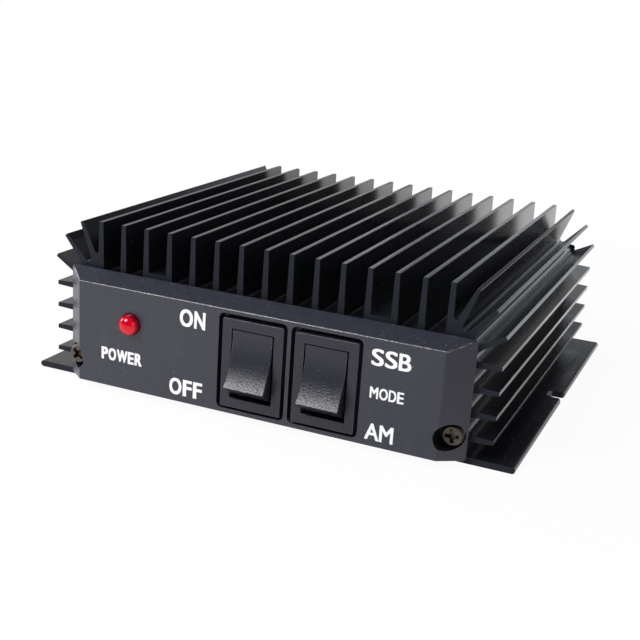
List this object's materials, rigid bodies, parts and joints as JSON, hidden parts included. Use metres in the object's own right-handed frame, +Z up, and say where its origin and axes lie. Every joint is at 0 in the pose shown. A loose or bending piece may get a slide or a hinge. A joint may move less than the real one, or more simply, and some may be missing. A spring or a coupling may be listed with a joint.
{
  "type": "hf linear amplifier",
  "caption": "Mobile HF linear amplifier: finned black heatsink case with mounting flanges, two rocker switches and a red lamp in front, two aerial sockets behind.",
  "frame": {"origin": "centre of the underside", "axes": "+Y from the front panel to the rear sockets, +X to the right seen from the front, +Z up"},
  "size_m": [0.1212, 0.1276, 0.0394],
  "materials": {
    "anodised_black": "satin black anodised",
    "panel_plastic": "fine-grained dark grey",
    "dark_screw": "dark bronze plated",
    "lamp_red": "clear red lens",
    "wire_grey": "satin",
    "switch_plastic": "satin black moulding",
    "rocker_plastic": "satin black moulding",
    "white_plastic": "satin",
    "spring_steel": "bright",
    "contact_brass": "satin",
    "wire_red": "satin",
    "wire_blue": "satin",
    "rubber_black": "matt",
    "board_green": "lacquered",
    "nickel": "nickel plated",
    "pad_grey": "matt",
    "ferrite": "matt",
    "copper": "enamelled",
    "relay_case": "satin",
    "capacitor_sleeve": "gloss sleeve",
    "mica_brown": "dipped",
    "resistor_tan": "satin",
    "fuse_glass": "clear",
    "epoxy_black": "moulded epoxy",
    "tinned_copper": "tinned"
  },
  "bodies": {
    "chassis": {"heatsink": "anodised_black", "front_panel": "panel_plastic", "rear_panel": "panel_plastic", "bottom_cover": "anodised_black", "front_panel_screws": "dark_screw", "rear_panel_screws": "dark_screw", "bottom_cover_screws": "dark_screw", "power_lamp": "lamp_red", "power_lamp_leads": "wire_grey", "power_switch_housing": "switch_plastic", "power_switch_terminals": "contact_brass", "power_switch_wires": "wire_red", "mode_switch_housing": "switch_plastic", "mode_switch_terminals": "contact_brass", "mode_switch_wires": "wire_blue", "input_socket_shell": "nickel", "input_socket_insulator": "white_plastic", "input_socket_contact": "contact_brass", "input_socket_washer": "nickel", "input_socket_nut": "nickel", "input_socket_wire": "tinned_copper", "output_socket_shell": "nickel", "output_socket_insulator": "white_plastic", "output_socket_contact": "contact_brass", "output_socket_washer": "nickel", "output_socket_nut": "nickel", "output_socket_wire": "tinned_copper", "power_lead_grommet": "rubber_black", "circuit_board": "board_green", "board_spacers": "nickel", "board_screws": "nickel", "transistor_1": "epoxy_black", "transistor_2": "epoxy_black", "transistor_3": "epoxy_black", "transistor_4": "epoxy_black", "transistor_insulators": "pad_grey", "transistor_screws": "nickel", "input_transformer": "ferrite", "output_transformer": "ferrite", "supply_choke": "copper", "input_relay": "relay_case", "output_relay": "relay_case", "electrolytic_capacitors": "capacitor_sleeve", "filter_coils": "copper", "mica_capacitors": "mica_brown", "bias_resistors": "resistor_tan", "fuse": "fuse_glass", "fuse_clips": "nickel"},
    "power_rocker": {"power_switch_rocker": "rocker_plastic", "power_switch_plunger": "white_plastic", "power_switch_spring": "spring_steel"},
    "power_contact": {"power_switch_contact": "contact_brass"},
    "mode_rocker": {"mode_switch_rocker": "rocker_plastic", "mode_switch_plunger": "white_plastic", "mode_switch_spring": "spring_steel"},
    "mode_contact": {"mode_switch_contact": "contact_brass"}
  },
  "joints": [
    {"name": "power_rocker_tilt", "type": "hinge", "parent": "chassis", "child": "power_rocker", "pos_m": [0.0006, -0.05127, 0.01384], "axis": [1, 0, 0], "range_deg": [0, 33]},
    {"name": "power_contact_tilt", "type": "hinge", "parent": "chassis", "child": "power_contact", "pos_m": [0.0006, -0.04548, 0.01384], "axis": [1, 0, 0], "range_deg": [-20, 0]},
    {"name": "mode_rocker_tilt", "type": "hinge", "parent": "chassis", "child": "mode_rocker", "pos_m": [0.0183, -0.05127, 0.01384], "axis": [1, 0, 0], "range_deg": [0, 33]},
    {"name": "mode_contact_tilt", "type": "hinge", "parent": "chassis", "child": "mode_contact", "pos_m": [0.0183, -0.04548, 0.01384], "axis": [1, 0, 0], "range_deg": [-20, 0]}
  ],
  "couplings": [
    {"joint": "power_contact_tilt", "follows": "power_rocker_tilt", "ratio": -0.606},
    {"joint": "mode_contact_tilt", "follows": "mode_rocker_tilt", "ratio": -0.606}
  ]
}
